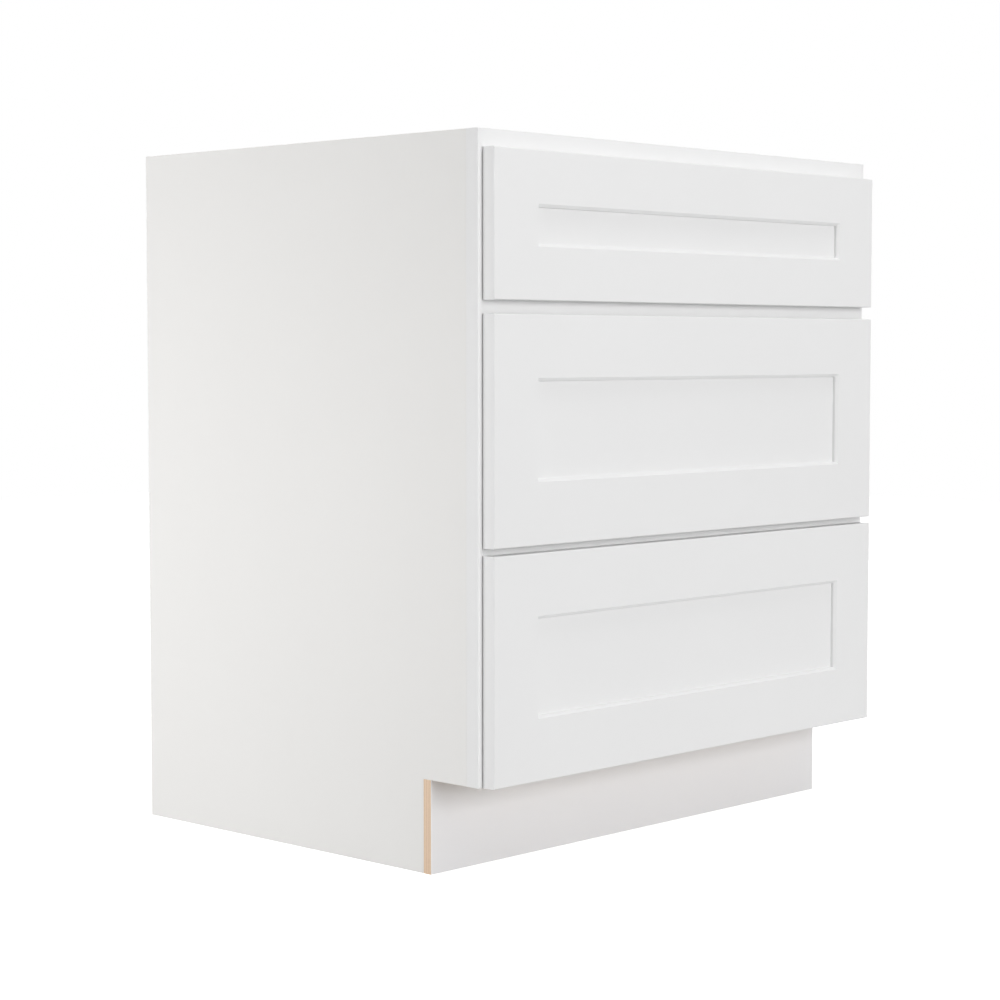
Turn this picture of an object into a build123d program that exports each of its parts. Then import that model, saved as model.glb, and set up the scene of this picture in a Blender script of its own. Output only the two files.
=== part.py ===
from build123d import *
import math
import os

# A framed kitchen base cabinet, 30 in wide, with three drawers: plywood case, face frame, shaker fronts,
# dovetailed boxes on undermount runners. Millimetres. X runs to the right, Y to the back and Z up.
# The origin is on the floor, under the middle of the whole cabinet with its drawers closed.

# ---- Case ----
cabinet_width = 762.0
cabinet_height = 876.3
cabinet_depth = 609.6  # from the front of the face frame to the back
panel_thickness = 12.7  # sides, bottom, back and toe board
dado_depth = 5.0  # how far the bottom and back are let into the sides
toe_height = 113.5
toe_setback = 77.9  # from the front of the face frame to the front of the toe board
floor_drop = 3.2  # the bottom panel lies this far below the top of the bottom rail

# ---- Face frame ----
frame_thickness = 19.05
frame_member_width = 38.1
frame_edge_round = 1.2
tenon_length = 12.0
tenon_thickness = 6.35
tenon_shoulder = 5.0

# ---- Drawer fronts ----
front_thickness = 18.0
front_side_reveal = 6.35  # face frame showing on each side of the fronts
top_reveal = 21.5  # face frame showing above the top front
top_front_height = 174.6
upper_gap = 16.0  # between the top and middle fronts
lower_gap = 8.7  # between the middle and bottom fronts
front_stile_width = 78.5
front_rail_width = 78.0
top_front_rail_width = 66.0
stick_bevel = 3.5  # taken off the inner edges of the stiles and rails
panel_recess = 7.5  # from the front's face to the flat panel
front_panel_thickness = 6.35
groove_depth = 9.5
groove_end_gap = 0.5  # between the panel and the floor of its groove
front_edge_round = 1.5

# ---- Bumper pads ----
bumper_gap = 1.5  # between a closed front and the face frame
bumper_squeeze = 0.1  # how much thinner a pad is than that gap
bumper_radius = 4.0
bumper_inset = 14.0  # from the front's top and bottom edges

# ---- Drawer boxes ----
box_wall = 16.0
box_bottom_thickness = 9.5
box_groove = 7.0
box_side_gap = 5.0  # from the face frame's opening to the box side
box_lift = 14.3  # from the opening's lower edge to the box side's lower edge
head_room = 26.0  # from the top of a box to the opening's upper edge
bottom_recess = 12.7  # the box bottom lies this far above the sides' lower edges
rear_space = 65.0  # from the back of a box to the back panel
box_edge_round = 1.5
tail_pitch = 36.0
tail_share = 0.55  # width of a tail's root, as a share of the pitch
tail_angle = 10.0
tail_lap = 4.0  # wood left in front of the tails

# ---- Runners ----
sheet = 1.2
runner_setback = 3.0  # from the front of the face frame
flange_height = 29.0
web_lift = 1.0  # the cabinet profile's web above the opening's lower edge
roller_space = 2.0  # between one profile and the next
running_gap = 0.3  # from a roller cage to the profile that runs on it
profile_width = 24.0  # of the drawer profile
profile_gap = 1.0  # from the box side to the drawer profile
track_gap = 1.5  # from the box front to the profiles that run under the box
track_end_gap = 3.0  # from the back of the box to the profiles' rear ends
lip_step = 6.0  # the drawer profile's lip above the intermediate profile's
cage_length = 90.0
cage_margin = 8.0
hook_height = 12.0
hook_pin_radius = 2.5
hook_pin_length = 7.0
hook_hole_clearance = 0.5
notch_width = 32.0  # in the box back, where the profiles pass

# ---- Rear brackets ----
bracket_thickness = 3.0
bracket_grip = 16.0  # how far it reaches along the cabinet profile
bracket_width = 46.0

# ---- Lock clips and their levers ----
clip_gap = 0.6
clip_width = 40.0
clip_length = 50.0
clip_plate = 5.0
clip_lug = 4.0
clip_lug_start = 12.0
clip_lug_length = 26.0
clip_nose_length = 10.0
clip_nose_height = 5.0
nose_clearance = 0.8
lever_thickness = 5.8
lever_gap = 0.35
lever_hub_radius = 7.0
lever_length = 34.0
lever_width = 8.0
lever_tip_radius = 5.5
lever_angle = 20.0
lever_pin_radius = 3.0
lever_pin_clearance = 0.05
lever_pin_head = 1.0
lever_pin_flare = 2.0

# ---- Corner braces ----
brace_leg = 76.0
brace_nose = 16.0  # width left at the end of each leg
brace_thickness = 4.0
brace_flange = 22.0
worktop_hole_inset = 26.0  # from both walls of the corner
worktop_hole_radius = 2.6

# ---- Screws ----
screw_radius = 1.8
screw_hole_clearance = 0.25
screw_head_radius = 3.6
screw_head_height = 1.8
case_screw_bite = 9.0  # how deep a screw goes into a panel
stile_screw_bite = 16.0
front_screw_bite = 12.0
front_screw_inset = 7.0  # from the box side's inner face
front_screw_margin = 14.0  # from the box bottom and from the top of the box
clip_screw_bite = 7.0

# ---- Places worked out from the sizes above ----
half_width = cabinet_width / 2
frame_front = -(cabinet_depth - front_thickness - bumper_gap) / 2
frame_back = frame_front + frame_thickness
cabinet_back = frame_front + cabinet_depth
back_panel_front = cabinet_back - panel_thickness
toe_front = frame_front + toe_setback
toe_back = toe_front + panel_thickness
side_inner = half_width - panel_thickness
opening_half = half_width - frame_member_width
bottom_rail_top = toe_height + frame_member_width
floor_top = bottom_rail_top - floor_drop
floor_underside = floor_top - panel_thickness

front_back = frame_front - bumper_gap
front_face = front_back - front_thickness
front_half = half_width - front_side_reveal
fronts_total = cabinet_height - toe_height - top_reveal - upper_gap - lower_gap
low_front_height = (fronts_total - top_front_height) / 2
bottom_front_top = toe_height + low_front_height
middle_front_low = bottom_front_top + lower_gap
middle_front_top = middle_front_low + low_front_height
top_front_low = middle_front_top + upper_gap
top_front_top = top_front_low + top_front_height

top_rail_low = cabinet_height - frame_member_width
upper_rail_low = (middle_front_top + top_front_low - frame_member_width) / 2
lower_rail_low = (bottom_front_top + middle_front_low - frame_member_width) / 2
upper_rail_top = upper_rail_low + frame_member_width
lower_rail_top = lower_rail_low + frame_member_width
top_box_height = top_rail_low - upper_rail_top - box_lift - head_room
low_box_height = lower_rail_low - bottom_rail_top - box_lift - head_room

box_start = front_back
box_end = back_panel_front - rear_space
box_half = opening_half - box_side_gap
box_inner_half = box_half - box_wall
box_front_inner = box_start + box_wall
box_back_inner = box_end - box_wall
tail_length = box_wall - tail_lap

# Across the left runner, from the face frame's opening inwards.
drawer_profile = (box_side_gap + box_wall + profile_gap, box_side_gap + box_wall + profile_gap + profile_width)
step_in = sheet + roller_space
middle_profile = (drawer_profile[0] + step_in, drawer_profile[1] - step_in)
cabinet_profile = (middle_profile[0] + step_in, middle_profile[1] - step_in)
clip_start = drawer_profile[1] + clip_gap
cage_wall = roller_space - running_gap

runner_start = frame_front + runner_setback
track_start = box_front_inner + track_gap
track_end = box_end - track_end_gap
track_middle = (track_start + track_end) / 2

# Above the opening's lower edge.
web_top = web_lift + sheet
under_box = box_lift + bottom_recess
middle_profile_top = under_box - step_in
cabinet_profile_top = middle_profile_top - step_in
middle_profile_low = web_top + roller_space
drawer_profile_low = middle_profile_low + lip_step
clip_plate_low = under_box - clip_plate
lever_top = clip_plate_low - lever_gap
lever_low = lever_top - lever_thickness
pin_head_top = lever_low - lever_gap
pin_head_low = pin_head_top - lever_pin_head

DRAWERS = {
    "top": {
        "front": (top_front_low, top_front_top),
        "rail": top_front_rail_width,
        "opening": upper_rail_top,
        "height": top_box_height,
    },
    "middle": {
        "front": (middle_front_low, middle_front_top),
        "rail": front_rail_width,
        "opening": lower_rail_top,
        "height": low_box_height,
    },
    "bottom": {
        "front": (toe_height, bottom_front_top),
        "rail": front_rail_width,
        "opening": bottom_rail_top,
        "height": low_box_height,
    },
}


# ---- Shapes that repeat ----
def block(x_pair, y_pair, z_pair):
    """A box between two values on each axis, given in either order."""
    pairs = (x_pair, y_pair, z_pair)
    low = [min(pair) for pair in pairs]
    size = [max(pair) - min(pair) for pair in pairs]
    return Pos(*low) * Box(*size, align=(Align.MIN, Align.MIN, Align.MIN))


def prism(points, travel):
    """A flat outline pushed along a vector, whose length is the prism's."""
    outline = make_face(Polyline(*points, close=True))
    way = Vector(*travel)
    return extrude(outline, amount=way.length, dir=way)


def rod(start, direction, radius, length):
    """A round bar from its start point along a direction."""
    plane = Plane(origin=start, z_dir=direction)
    return plane * Cylinder(radius, length, align=(Align.CENTER, Align.CENTER, Align.MIN))


def screw(seat, direction, length):
    """A pan-head wood screw: its head rests on the seat point and its shank goes along the direction."""
    backward = tuple(-value for value in direction)
    head = rod(seat, backward, screw_head_radius, screw_head_height)
    return head + rod(seat, direction, screw_radius, length)


def screw_hole(seat, direction, length):
    """The clearance hole for a screw's shank."""
    return rod(seat, direction, screw_radius + screw_hole_clearance, length)


def straight_edges(shape, axis, x=None, y=None, z=None):
    """The shape's edges along an axis whose middles lie at the given coordinates."""
    found = []
    for edge in shape.edges().filter_by(axis):
        middle = edge.center()
        places = ((middle.X, x), (middle.Y, y), (middle.Z, z))
        if all(wanted is None or abs(value - wanted) < 1e-4 for value, wanted in places):
            found.append(edge)
    return found


def across(shape):
    """The same shape on the other side of the cabinet."""
    return mirror(shape, about=Plane.YZ)


def both_sides(pieces):
    """Left-hand pieces with their right-hand twins."""
    return pieces + [across(piece) for piece in pieces]


def save(node, pieces):
    """Writes one node, of one solid or of several like ones."""
    shape = pieces[0] if len(pieces) == 1 else Compound(children=list(pieces))
    export_step(shape, f"parts/{node}.step")


def from_opening(distance):
    """The X of a point that lies this far inside the left edge of the face frame's opening."""
    return distance - opening_half


# ---- Case ----
def floor_panel():
    edge = side_inner + dado_depth
    return block((-edge, edge), (frame_back, back_panel_front), (floor_underside, floor_top))


def back_panel():
    edge = side_inner + dado_depth
    return block((-edge, edge), (back_panel_front, cabinet_back), (floor_underside, cabinet_height))


def left_side_panel():
    """Notched at its lower front corner for the toe space, with dadoes for the bottom and back."""
    outline = [
        (-half_width, frame_back, toe_height),
        (-half_width, frame_back, cabinet_height),
        (-half_width, cabinet_back, cabinet_height),
        (-half_width, cabinet_back, 0),
        (-half_width, toe_back, 0),
        (-half_width, toe_back, toe_height),
    ]
    panel = prism(outline, (panel_thickness, 0, 0))
    return panel - floor_panel() - back_panel()


def toe_board():
    return block((-half_width, half_width), (toe_front, toe_back), (0, toe_height))


# ---- Face frame ----
def frame_rail(low):
    """A rail of the face frame with a tenon at each end."""
    tenon_front = frame_front + (frame_thickness - tenon_thickness) / 2
    rail = block((-opening_half, opening_half), (frame_front, frame_back), (low, low + frame_member_width))
    reach = opening_half + tenon_length
    tenon = block(
        (-reach, reach),
        (tenon_front, tenon_front + tenon_thickness),
        (low + tenon_shoulder, low + frame_member_width - tenon_shoulder),
    )
    return rail + tenon


def frame_left_stile(rails):
    """The left stile, mortised for the rails' tenons."""
    stile = block((-half_width, -opening_half), (frame_front, frame_back), (toe_height, cabinet_height))
    corner = straight_edges(stile, Axis.Z, x=-half_width, y=frame_front)
    stile = fillet(corner, frame_edge_round)
    for rail in rails:
        stile = stile - rail
    return stile


# ---- Drawer fronts ----
def front_pieces(front, rail_width):
    """A five-piece front: two stiles, two rails and the flat panel in their grooves."""
    low, top = front
    stile_edge = front_half - front_stile_width
    groove_y = (front_face + panel_recess, front_face + panel_recess + front_panel_thickness)
    depth_y = (front_face, front_back)
    inner_low = low + rail_width
    inner_top = top - rail_width

    blank = block((-front_half, front_half), depth_y, front)
    outer = straight_edges(blank, Axis.X, y=front_face) + straight_edges(blank, Axis.Z, y=front_face)
    blank = fillet(outer, front_edge_round)
    blank = blank - block((-stile_edge, stile_edge), depth_y, (inner_low, inner_top))
    inner_edges = []
    for z in (inner_low, inner_top):
        inner_edges += straight_edges(blank, Axis.X, y=front_face, z=z)
    for x in (-stile_edge, stile_edge):
        inner_edges += straight_edges(blank, Axis.Z, x=x, y=front_face)
    blank = chamfer(inner_edges, stick_bevel)

    stile_groove = block((-stile_edge - groove_depth, -stile_edge), groove_y, front)
    stile = (blank & block((-front_half, -stile_edge), depth_y, front)) - stile_groove

    tongue_end = stile_edge + groove_depth
    rails = []
    for edge, inner, into in ((low, inner_low, -1), (top, inner_top, 1)):
        rail = blank & block((-stile_edge, stile_edge), depth_y, (edge, inner))
        groove_floor = inner + into * groove_depth
        rail = rail - block((-stile_edge, stile_edge), groove_y, (inner, groove_floor))
        for side in (-1, 1):
            rail = rail + block((side * stile_edge, side * tongue_end), groove_y, (groove_floor, edge))
        rails.append(rail)

    panel_reach = groove_depth - groove_end_gap
    panel_end = stile_edge + panel_reach
    panel = block((-panel_end, panel_end), groove_y, (inner_low - panel_reach, inner_top + panel_reach))
    return both_sides([stile]), rails, panel


def bumper_pads():
    """Clear pads on the face frame, four behind each front."""
    across_stile = (opening_half + front_half) / 2
    pads = []
    for drawer in DRAWERS.values():
        low, top = drawer["front"]
        for z in (low + bumper_inset, top - bumper_inset):
            seat = (-across_stile, frame_front, z)
            pads.append(rod(seat, (0, -1, 0), bumper_radius, bumper_gap - bumper_squeeze))
    return both_sides(pads)


# ---- Drawer boxes ----
def tails(low, height, root, tip):
    """The dovetails at one end of the left box side."""
    count = max(2, round(height / tail_pitch))
    pitch = height / count
    half_root = pitch * tail_share / 2
    half_tip = half_root + tail_length * math.tan(math.radians(tail_angle))
    shapes = []
    for index in range(count):
        middle = low + (index + 0.5) * pitch
        outline = [
            (-box_half, root, middle - half_root),
            (-box_half, root, middle + half_root),
            (-box_half, tip, middle + half_tip),
            (-box_half, tip, middle - half_tip),
        ]
        shapes.append(prism(outline, (box_wall, 0, 0)))
    return shapes


def front_screw_seats(low, height):
    """Where the screws that hold a front start, on the inner face of the box front, left side."""
    x = -(box_inner_half - front_screw_inset)
    first = low + bottom_recess + box_bottom_thickness + front_screw_margin
    second = low + height - front_screw_margin
    return [(x, box_front_inner, z) for z in (first, second)]


def box_pieces(opening, height):
    """The box's left side, right side, front, back and bottom."""
    low = opening + box_lift
    top = low + height
    bottom_low = low + bottom_recess
    reach_x = box_inner_half + box_groove
    bottom = block(
        (-reach_x, reach_x),
        (box_front_inner - box_groove, box_back_inner + box_groove),
        (bottom_low, bottom_low + box_bottom_thickness),
    )

    board = block((-box_half, -box_inner_half), (box_front_inner, box_back_inner), (low, top))
    board = fillet(straight_edges(board, Axis.Y, z=top), box_edge_round)
    front_tails = tails(low, height, box_front_inner, box_front_inner - tail_length)
    back_tails = tails(low, height, box_back_inner, box_back_inner + tail_length)
    for tail in front_tails + back_tails:
        board = board + tail
    side = board - bottom

    front = block((-box_half, box_half), (box_start, box_front_inner), (low, top))
    front = fillet(straight_edges(front, Axis.X, z=top), box_edge_round)
    for tail in both_sides(front_tails):
        front = front - tail
    for seat in front_screw_seats(low, height):
        hole = screw_hole(seat, (0, -1, 0), box_wall)
        front = front - hole - across(hole)
    front = front - bottom

    back = block((-box_half, box_half), (box_back_inner, box_end), (low, top))
    back = fillet(straight_edges(back, Axis.X, z=top), box_edge_round)
    for tail in both_sides(back_tails):
        back = back - tail
    notch_x = (-box_inner_half, -box_inner_half + notch_width)
    notch = block(notch_x, (box_back_inner, box_end), (low, bottom_low))
    hole_radius = hook_pin_radius + hook_hole_clearance
    hole = rod(hook_pin_seat(opening), (0, -1, 0), hole_radius, hook_pin_length + hook_hole_clearance)
    for cut in both_sides([notch, hole]):
        back = back - cut
    back = back - bottom
    return side, across(side), front, back, bottom


# ---- Runners ----
def channel(u_pair, z_low, z_top, y_pair, wall):
    """A folded profile, open below: two legs under a top. It lies under the left side of a box."""
    left, right = (from_opening(u) for u in u_pair)
    outline = [
        (left, y_pair[0], z_low),
        (left, y_pair[0], z_top),
        (right, y_pair[0], z_top),
        (right, y_pair[0], z_low),
        (right - wall, y_pair[0], z_low),
        (right - wall, y_pair[0], z_top - wall),
        (left + wall, y_pair[0], z_top - wall),
        (left + wall, y_pair[0], z_low),
    ]
    return prism(outline, (0, y_pair[1] - y_pair[0], 0))


def runner_screw_seats(opening):
    """Where the cabinet profile's flange is screwed to the stile, left side."""
    y = (runner_start + frame_back) / 2
    inner_face = from_opening(sheet)
    quarter = flange_height / 4
    return [(inner_face, y, opening + web_lift + share * quarter) for share in (1.2, 3.2)]


def cabinet_runner(opening):
    """The fixed profile: a flange on the opening's edge, a web under the box and a rail for the rollers."""
    web_low = opening + web_lift
    web_x = (from_opening(0), from_opening(cabinet_profile[1]))
    web = block(web_x, (runner_start, track_end), (web_low, opening + web_top))
    flange_x = (from_opening(0), from_opening(sheet))
    flange = block(flange_x, (runner_start, track_end), (web_low, web_low + flange_height))
    rail_y = (track_start, track_end)
    rail = channel(cabinet_profile, opening + web_top, opening + cabinet_profile_top, rail_y, sheet)
    runner = web + flange + rail
    for seat in runner_screw_seats(opening):
        runner = runner - screw_hole(seat, (-1, 0, 0), sheet)
    return runner


def intermediate_runner(opening):
    """The profile between the cabinet's and the drawer's."""
    z_low = opening + middle_profile_low
    z_top = opening + middle_profile_top
    return channel(middle_profile, z_low, z_top, (track_start, track_end), sheet)


def roller_cages(opening):
    """Nylon cages on the intermediate profile: the outer ones ahead, the inner ones behind the middle."""
    outer_u = (middle_profile[0] - cage_wall, middle_profile[1] + cage_wall)
    inner_u = (middle_profile[0] + sheet, middle_profile[1] - sheet)
    outer_low = opening + drawer_profile_low
    inner_low = opening + middle_profile_low
    outer_top = opening + middle_profile_top + cage_wall
    inner_top = opening + middle_profile_top - sheet
    cages = []
    for start in (track_start + cage_margin, track_middle - cage_margin - cage_length):
        cages.append(channel(outer_u, outer_low, outer_top, (start, start + cage_length), cage_wall))
    for start in (track_middle + cage_margin, track_end - cage_margin - cage_length):
        cages.append(channel(inner_u, inner_low, inner_top, (start, start + cage_length), cage_wall))
    return cages


def hook_pin_seat(opening):
    """Where the drawer profile's rear pin leaves its hook, left side."""
    u = (drawer_profile[0] + drawer_profile[1]) / 2
    return (from_opening(u), box_end, opening + under_box + hook_height / 2)


def drawer_runner(opening):
    """The profile under the box, with a window for the lock clip's nose and a hook for the box back."""
    z_low = opening + drawer_profile_low
    z_top = opening + under_box
    runner = channel(drawer_profile, z_low, z_top, (track_start, box_end + sheet), sheet)

    nose_y, nose_z = clip_nose_box(opening)
    window_y = (nose_y[0] - nose_clearance, nose_y[1] + nose_clearance)
    window_z = (nose_z[0] - nose_clearance, nose_z[1] + nose_clearance)
    window_x = (from_opening(drawer_profile[1] - sheet), from_opening(drawer_profile[1]))
    runner = runner - block(window_x, window_y, window_z)

    pin_x, pin_y, pin_z = hook_pin_seat(opening)
    half_hook = hook_height / 2
    hook = block((pin_x - half_hook, pin_x + half_hook), (box_end, box_end + sheet), (z_top, z_top + hook_height))
    pin = rod((pin_x, pin_y, pin_z), (0, -1, 0), hook_pin_radius, hook_pin_length)
    return runner + hook + pin


# ---- Rear brackets ----
def bracket_screw_seats(opening):
    """Where a rear bracket is screwed to the back panel, left side."""
    u = (cabinet_profile[1] + bracket_width) / 2
    face = back_panel_front - bracket_thickness
    quarter = flange_height / 4
    return [(from_opening(u), face, opening + web_lift + share * quarter) for share in (1, 3)]


def rear_bracket(opening):
    """A plate on the back panel with two arms that hold the cabinet profile's rear end."""
    low = opening + web_lift - bracket_thickness
    top = opening + web_lift + flange_height
    outer = from_opening(-bracket_thickness)
    arm_y = (track_end - bracket_grip, back_panel_front)
    plate_y = (back_panel_front - bracket_thickness, back_panel_front)
    plate = block((outer, from_opening(bracket_width)), plate_y, (low, top))
    shelf = block((outer, from_opening(cabinet_profile[1])), arm_y, (low, low + bracket_thickness))
    cheek = block((outer, from_opening(0)), arm_y, (low, top))
    bracket = plate + shelf + cheek
    for seat in bracket_screw_seats(opening):
        bracket = bracket - screw_hole(seat, (0, 1, 0), bracket_thickness)
    return bracket


# ---- Lock clips and their levers ----
def clip_nose_box(opening):
    """The Y and Z limits of the nose that holds the drawer profile."""
    middle_y = box_front_inner + clip_lug_start + clip_lug_length / 2
    middle_z = opening + (lever_low + clip_plate_low) / 2
    nose_y = (middle_y - clip_nose_length / 2, middle_y + clip_nose_length / 2)
    nose_z = (middle_z - clip_nose_height / 2, middle_z + clip_nose_height / 2)
    return nose_y, nose_z


def lever_pivot():
    """The X and Y of the left lever's pin."""
    return from_opening(clip_start + clip_width / 2), box_front_inner + clip_length * 0.4


def clip_screw_seats(opening):
    """Where a lock clip is screwed to the box bottom, left side."""
    x = from_opening(clip_start + clip_lug + screw_head_radius + 1)
    inset = screw_head_radius + 1
    ends = (box_front_inner + inset, box_front_inner + clip_length - inset)
    return [(x, y, opening + clip_plate_low) for y in ends]


def lock_clip(opening):
    """A plate under the box bottom with a lug and nose at the runner and a pin for the lever."""
    clip_end = box_front_inner + clip_length
    plate_x = (from_opening(clip_start), from_opening(clip_start + clip_width))
    plate_z = (opening + clip_plate_low, opening + under_box)
    clip = block(plate_x, (box_front_inner, clip_end), plate_z)
    lug_x = (from_opening(clip_start), from_opening(clip_start + clip_lug))
    lug_low = box_front_inner + clip_lug_start
    lug_z = (opening + lever_low, opening + clip_plate_low)
    clip = clip + block(lug_x, (lug_low, lug_low + clip_lug_length), lug_z)
    nose_y, nose_z = clip_nose_box(opening)
    nose_x = (from_opening(drawer_profile[1] - sheet), from_opening(clip_start))
    clip = clip + block(nose_x, nose_y, nose_z)

    pivot_x, pivot_y = lever_pivot()
    pin_foot = (pivot_x, pivot_y, opening + pin_head_low)
    clip = clip + rod(pin_foot, (0, 0, 1), lever_pin_radius, clip_plate_low - pin_head_low)
    clip = clip + rod(pin_foot, (0, 0, 1), lever_pin_radius + lever_pin_flare, lever_pin_head)
    for seat in clip_screw_seats(opening):
        clip = clip - screw_hole(seat, (0, 0, 1), clip_plate)
    return clip


def release_lever(opening):
    """The squeeze lever: a hub on the clip's pin and an arm with a round finger pad."""
    pivot_x, pivot_y = lever_pivot()
    half = lever_width / 2
    thick = lever_thickness
    lever = rod((0, 0, 0), (0, 0, 1), lever_hub_radius, thick)
    lever = lever + block((0, lever_length), (-half, half), (0, thick))
    lever = lever + rod((lever_length, 0, 0), (0, 0, 1), lever_tip_radius, thick)
    lever = lever - rod((0, 0, 0), (0, 0, 1), lever_pin_radius + lever_pin_clearance, thick)
    return Pos(pivot_x, pivot_y, opening + lever_low) * Rot(0, 0, lever_angle) * lever


# ---- Corner braces ----
CORNERS = (
    (-side_inner, frame_back, 1, 1),
    (side_inner, frame_back, -1, 1),
    (-side_inner, back_panel_front, 1, -1),
    (side_inner, back_panel_front, -1, -1),
)


def brace_screw_seats(corner):
    """The seats and directions of a brace's screws, two through each flange."""
    x, y, to_x, to_y = corner
    z = cabinet_height - brace_flange / 2 - brace_thickness / 2
    seats = []
    for along in (brace_leg * 0.45, brace_leg - screw_head_radius * 2):
        seats.append(((x + to_x * along, y + to_y * brace_thickness, z), (0, -to_y, 0)))
        seats.append(((x + to_x * brace_thickness, y + to_y * along, z), (-to_x, 0, 0)))
    return seats


def corner_brace(corner):
    """A moulded bracket in a top corner: a flat plate with a worktop screw hole, and two flanges."""
    x, y, to_x, to_y = corner
    plan = [(0, 0), (brace_leg, 0), (brace_leg, brace_nose), (brace_nose, brace_leg), (0, brace_leg)]
    low = cabinet_height - brace_thickness
    outline = [(x + to_x * a, y + to_y * b, low) for a, b in plan]
    brace = prism(outline, (0, 0, brace_thickness))
    flange_z = (cabinet_height - brace_flange, low)
    long_x = (x, x + to_x * brace_leg)
    long_y = (y, y + to_y * brace_leg)
    brace = brace + block(long_x, (y, y + to_y * brace_thickness), flange_z)
    brace = brace + block((x, x + to_x * brace_thickness), long_y, flange_z)
    hole_foot = (x + to_x * worktop_hole_inset, y + to_y * worktop_hole_inset, low)
    brace = brace - rod(hole_foot, (0, 0, 1), worktop_hole_radius, brace_thickness)
    for seat, direction in brace_screw_seats(corner):
        brace = brace - screw_hole(seat, direction, brace_thickness)
    return brace


# ---- Screws ----
def assembly_screws():
    """The screws of the braces, the cabinet profiles and the rear brackets."""
    screws = []
    for corner in CORNERS:
        for seat, direction in brace_screw_seats(corner):
            screws.append(screw(seat, direction, brace_thickness + case_screw_bite))
    left = []
    for drawer in DRAWERS.values():
        for seat in runner_screw_seats(drawer["opening"]):
            left.append(screw(seat, (-1, 0, 0), sheet + stile_screw_bite))
        for seat in bracket_screw_seats(drawer["opening"]):
            left.append(screw(seat, (0, 1, 0), bracket_thickness + case_screw_bite))
    return screws + both_sides(left)


def drawer_screws(opening, height):
    """The screws that hold a front to its box, and the lock clips to the box bottom."""
    left = []
    for seat in front_screw_seats(opening + box_lift, height):
        left.append(screw(seat, (0, -1, 0), box_wall + front_screw_bite))
    for seat in clip_screw_seats(opening):
        left.append(screw(seat, (0, 0, 1), clip_plate + clip_screw_bite))
    return both_sides(left)


# ---- Everything, one file to a node ----
os.makedirs("parts", exist_ok=True)

save("floor_panel", [floor_panel()])
save("back_panel", [back_panel()])
left_side = left_side_panel()
save("left_side_panel", [left_side])
save("right_side_panel", [across(left_side)])
save("toe_board", [toe_board()])

frame_rails = [frame_rail(low) for low in (top_rail_low, upper_rail_low, lower_rail_low, toe_height)]
left_stile = frame_left_stile(frame_rails)
save("frame_left_stile", [left_stile])
save("frame_right_stile", [across(left_stile)])
save("frame_top_rail", frame_rails[:1])
save("frame_middle_rails", frame_rails[1:3])
save("frame_bottom_rail", frame_rails[3:])

save("corner_braces", [corner_brace(corner) for corner in CORNERS])
save("assembly_screws", assembly_screws())
save("bumper_pads", bumper_pads())
openings = [drawer["opening"] for drawer in DRAWERS.values()]
save("cabinet_runners", both_sides([cabinet_runner(opening) for opening in openings]))
save("rear_brackets", both_sides([rear_bracket(opening) for opening in openings]))

for name, drawer in DRAWERS.items():
    opening = drawer["opening"]
    stiles, rails, panel = front_pieces(drawer["front"], drawer["rail"])
    save(f"{name}_front_stiles", stiles)
    save(f"{name}_front_rails", rails)
    save(f"{name}_front_panel", [panel])
    box = box_pieces(opening, drawer["height"])
    for part_name, piece in zip(("left_side", "right_side", "front", "back", "bottom"), box):
        save(f"{name}_box_{part_name}", [piece])
    save(f"{name}_drawer_runners", both_sides([drawer_runner(opening)]))
    save(f"{name}_intermediate_runners", both_sides([intermediate_runner(opening)]))
    save(f"{name}_roller_cages", both_sides(roller_cages(opening)))
    save(f"{name}_lock_clips", both_sides([lock_clip(opening)]))
    lever = release_lever(opening)
    save(f"{name}_left_release_lever", [lever])
    save(f"{name}_right_release_lever", [across(lever)])
    save(f"{name}_drawer_screws", drawer_screws(opening, drawer["height"]))
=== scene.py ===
"""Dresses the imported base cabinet: painted case and fronts, birch boxes, zinc runners and small fittings.

The file is laid out as an add-on and is run as a script. Lengths are in metres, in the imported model's axes:
X to the right, Y to the back, Z up, with the floor at zero.
"""

import math

import bmesh
import bpy
from bpy.props import FloatProperty, FloatVectorProperty, IntProperty, PointerProperty
from bpy.types import Operator, Panel, PropertyGroup
from mathutils import Matrix, Vector


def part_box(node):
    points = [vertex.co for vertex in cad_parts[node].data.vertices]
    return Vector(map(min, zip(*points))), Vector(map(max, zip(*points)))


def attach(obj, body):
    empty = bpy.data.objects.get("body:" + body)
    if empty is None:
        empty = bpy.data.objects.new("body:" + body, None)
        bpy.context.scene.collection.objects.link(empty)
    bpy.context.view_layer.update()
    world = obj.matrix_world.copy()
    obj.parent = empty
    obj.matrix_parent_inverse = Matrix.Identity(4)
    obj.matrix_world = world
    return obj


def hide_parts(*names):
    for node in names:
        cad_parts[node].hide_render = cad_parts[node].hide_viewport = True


bl_info = {
    "name": "Base cabinet finish",
    "version": (1, 0, 0),
    "blender": (4, 5, 0),
    "location": "View3D > Sidebar > Cabinet",
    "description": "Finishes a base cabinet with three drawers around its packed frame",
    "category": "Object",
}

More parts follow.
